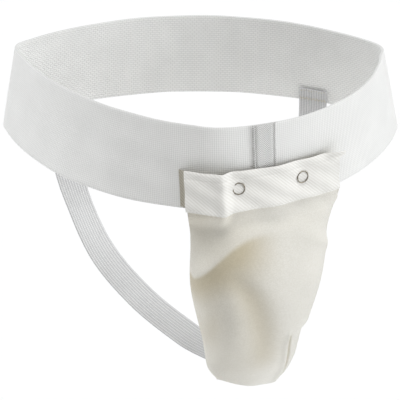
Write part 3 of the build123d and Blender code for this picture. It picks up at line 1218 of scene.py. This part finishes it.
for side in ("left", "right"):
    node = frame["nodes"][f"{side}_side_seam"]
    low, high = (in_pocket(corner)[2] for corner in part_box(f"{side}_side_seam"))
    rows = []
    spring = []
    for row in range(seam_rows):
        height = high - low - 2 * seam_end_inset
        z = low + seam_end_inset + height * row / (seam_rows - 1)
        cuts = level_cut(node, z)
        turns = [2 * pi * step / seam_sides for step in range(seam_sides)]
        rows.append([oval_point(cuts, turn, cloth_shares, z) for turn in turns])
        for quarter in range(4):
            spring.append(oval_point(cuts, pi / 2 * quarter, (1, 1), z + quarter * quarter_rise))
    uvs = [[(step * 0.4 * mm, row * 2 * mm) for step in range(seam_sides + 1)] for row in range(seam_rows)]
    seam = grid_piece(f"{side}_seam_allowance", rows, uvs, loop=True)
    seam.data.materials.append(jersey_look)
    overlock = sew(f"{side}_overlock_thread", [spring], unbroken_thread, white_thread, Thickness=0.35 * mm)
    for piece in (seam, overlock):
        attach(piece, "waist_and_pocket")
    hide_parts(f"{side}_side_seam")

# %% [markdown]
# ## Snaps and cup
# The hidden metal pieces and the cup keep their engineered shapes, so they only need a finish.
# Nickel plate on brass is bright where it is rubbed and grey-brown in its creases.

# %% Metal and plastic
def plain_material(name, colours, roughness, metallic, grain, bump_depth):
    """A hard material whose colour and gloss wander between two values."""
    material, tree, shader = new_material(name)
    place = add_node(tree, "ShaderNodeTexCoord").outputs["Object"]
    cloud = add_node(tree, "ShaderNodeTexNoise", None, {"Scale": grain, "Detail": 4.0}, {"Vector": place})
    colour = add_node(
        tree, "ShaderNodeMix", {"data_type": "RGBA"},
        {"A": linear(colours[0]), "B": linear(colours[1])}, {"Factor": cloud.outputs["Fac"]},
    )
    gloss = add_node(
        tree, "ShaderNodeMapRange", None, {"To Min": roughness[0], "To Max": roughness[1]},
        {"Value": cloud.outputs["Fac"]},
    )
    bump = add_node(
        tree, "ShaderNodeBump", None, {"Strength": 0.5, "Distance": bump_depth},
        {"Height": cloud.outputs["Fac"]},
    )
    tree.links.new(colour.outputs["Result"], shader.inputs["Base Color"])
    tree.links.new(gloss.outputs["Result"], shader.inputs["Roughness"])
    tree.links.new(bump.outputs["Normal"], shader.inputs["Normal"])
    shader.inputs["Metallic"].default_value = metallic
    return material


# Nickel-plated brass wire: a grey-brown ring with a few bright glints.
snap_metal = plain_material(
    "nickel_plated_brass", ("5E574B", "A39C8E"), roughness=(0.22, 0.42), metallic=1.0,
    grain=500.0, bump_depth=0.03 * mm,
)
# Injection-moulded polypropylene: milky white, satin, a little mottled.
cup_plastic = plain_material(
    "moulded_polypropylene", ("E4E6E2", "F1F1ED"), roughness=(0.35, 0.5), metallic=0.0,
    grain=60.0, bump_depth=0.05 * mm,
)
# Moulded thermoplastic rubber: softer and duller than the cup.
cup_rubber = plain_material(
    "moulded_soft_rubber", ("C9CCCB", "D9DAD7"), roughness=(0.6, 0.75), metallic=0.0,
    grain=240.0, bump_depth=0.06 * mm,
)
finishes = {"cup_shell": cup_plastic, "cup_edge_trim": cup_rubber}
for side in ("left", "right"):
    for part in ("socket", "stud", "post_ring"):
        finishes[f"{side}_snap_{part}"] = snap_metal
for name, finish in finishes.items():
    materials = frame["nodes"][name].data.materials
    if materials:
        materials[0] = finish
    else:
        materials.append(finish)
print("finished hard pieces:", len(finishes))

# %% [markdown]
# Only a thin wire ring of each snap shows on the front. The prongs behind it pull the wire in a
# little at five places, which is where it glints. The last section lands on the first, and the
# two are joined so that the ring is closed.

# %% Snap rings
ring_radius, wire_radius, prongs = 5.15, 0.5, 5
pinch_depth, pinch_width = 0.16, 0.35
ring_steps, wire_sides = 60, 12
for side, snap in (("left", left_snap), ("right", right_snap)):
    middle, outward = on_front(snap, snap_height)
    middle += outward * (snapped + wire_radius) * mm
    level_side = up.cross(outward).normalized()
    steep_side = outward.cross(level_side)
    rows, uvs = [], []
    for step in range(ring_steps + 1):
        turn = 2 * pi * step / ring_steps
        spoke = level_side * cos(turn) + steep_side * sin(turn)
        wire = wire_radius - pinch_depth * hill(sin(prongs * turn / 2), pinch_width)
        section = []
        for part in range(wire_sides):
            curve = 2 * pi * part / wire_sides
            from_middle = spoke * (ring_radius + wire * cos(curve)) + outward * wire * sin(curve)
            section.append(middle + from_middle * mm)
        rows.append(section)
        uvs.append([(part * 0.3 * mm, step * 0.6 * mm) for part in range(wire_sides + 1)])
    ring = grid_piece(f"{side}_snap_wire_ring", rows, uvs, loop=True)
    shape = bmesh.new()
    shape.from_mesh(ring.data)
    bmesh.ops.remove_doubles(shape, verts=shape.verts, dist=0.01 * mm)
    bmesh.ops.recalc_face_normals(shape, faces=shape.faces)
    shape.to_mesh(ring.data)
    shape.free()
    ring.data.materials.append(snap_metal)
    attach(ring, "flap")
    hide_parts(f"{side}_snap_cap_ring")
    print(f"{ring.name}: {2 * (ring_radius + wire_radius):.1f} mm across")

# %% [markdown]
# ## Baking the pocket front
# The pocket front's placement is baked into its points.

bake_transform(front_panel)

# %% [markdown]
# ## Floor, light and camera
# A pale floor lies well below, as when a piece hangs in a light tent. Two soft suns come from
# the sides, so the front left is the dimmest. A third comes through the roof, and an even sky
# fills the rest.

# %% Stage
floor_mesh = bpy.data.meshes.new("floor")
floor_reach, floor_z = 12, -0.75
corner_signs = [(-1, -1), (1, -1), (1, 1), (-1, 1)]
floor_corners = [(floor_reach * x, floor_reach * y, floor_z) for x, y in corner_signs]
floor_mesh.from_pydata(floor_corners, [], [(0, 1, 2, 3)])
floor = bpy.data.objects.new("floor", floor_mesh)
bpy.context.scene.collection.objects.link(floor)
# Matt white paper: it gives an even background with no shine.
floor_paper, floor_nodes, floor_shader = new_material("white_paper")
floor_shader.inputs["Base Color"].default_value = linear("FDFDFD")
floor_shader.inputs["Roughness"].default_value = 0.9
floor_mesh.materials.append(floor_paper)

world = bpy.data.worlds.new("tent")
bpy.context.scene.world = world
world.use_nodes = True
sky = world.node_tree.nodes["Background"]
sky.inputs["Color"].default_value = linear("FFFFFF")
sky.inputs["Strength"].default_value = 0.28


def soft_sun(name, azimuth, elevation, strength, spread, colour):
    """A sun with a wide disc. Azimuth 0 shines from the front and 90 from the right."""
    light = bpy.data.lights.new(name, "SUN")
    light.energy = strength
    light.angle = radians(spread)
    light.color = linear(colour)[:3]
    lamp = bpy.data.objects.new(name, light)
    turn, rise = radians(azimuth), radians(elevation)
    towards = Vector((sin(turn) * cos(rise), -cos(turn) * cos(rise), sin(rise)))
    lamp.rotation_euler = towards.to_track_quat("Z", "Y").to_euler()
    bpy.context.scene.collection.objects.link(lamp)


soft_sun("right_window", 74, 7, 1.6, 30, "FBFDFF")
soft_sun("left_window", -112, 20, 1.4, 36, "FBFDFF")
soft_sun("roof_light", 20, 80, 1.72, 30, "FFFFFF")

# %% Camera
distance, elevation = 6.0, radians(27.97)
camera_target = Vector((0, 0, -0.0887))
seen_width = 0.3487
sensor = 36
camera_data = bpy.data.cameras.new("camera")
camera_data.sensor_width = sensor
camera_data.lens = sensor * distance / seen_width
camera_data.clip_end = 100
camera = bpy.data.objects.new("camera", camera_data)
towards = Vector((0, -cos(elevation), sin(elevation)))
camera.location = camera_target + towards * distance
camera.rotation_euler = towards.to_track_quat("Z", "Y").to_euler()
bpy.context.scene.collection.objects.link(camera)
bpy.context.scene.camera = camera
bpy.context.scene.view_settings.view_transform = "Standard"
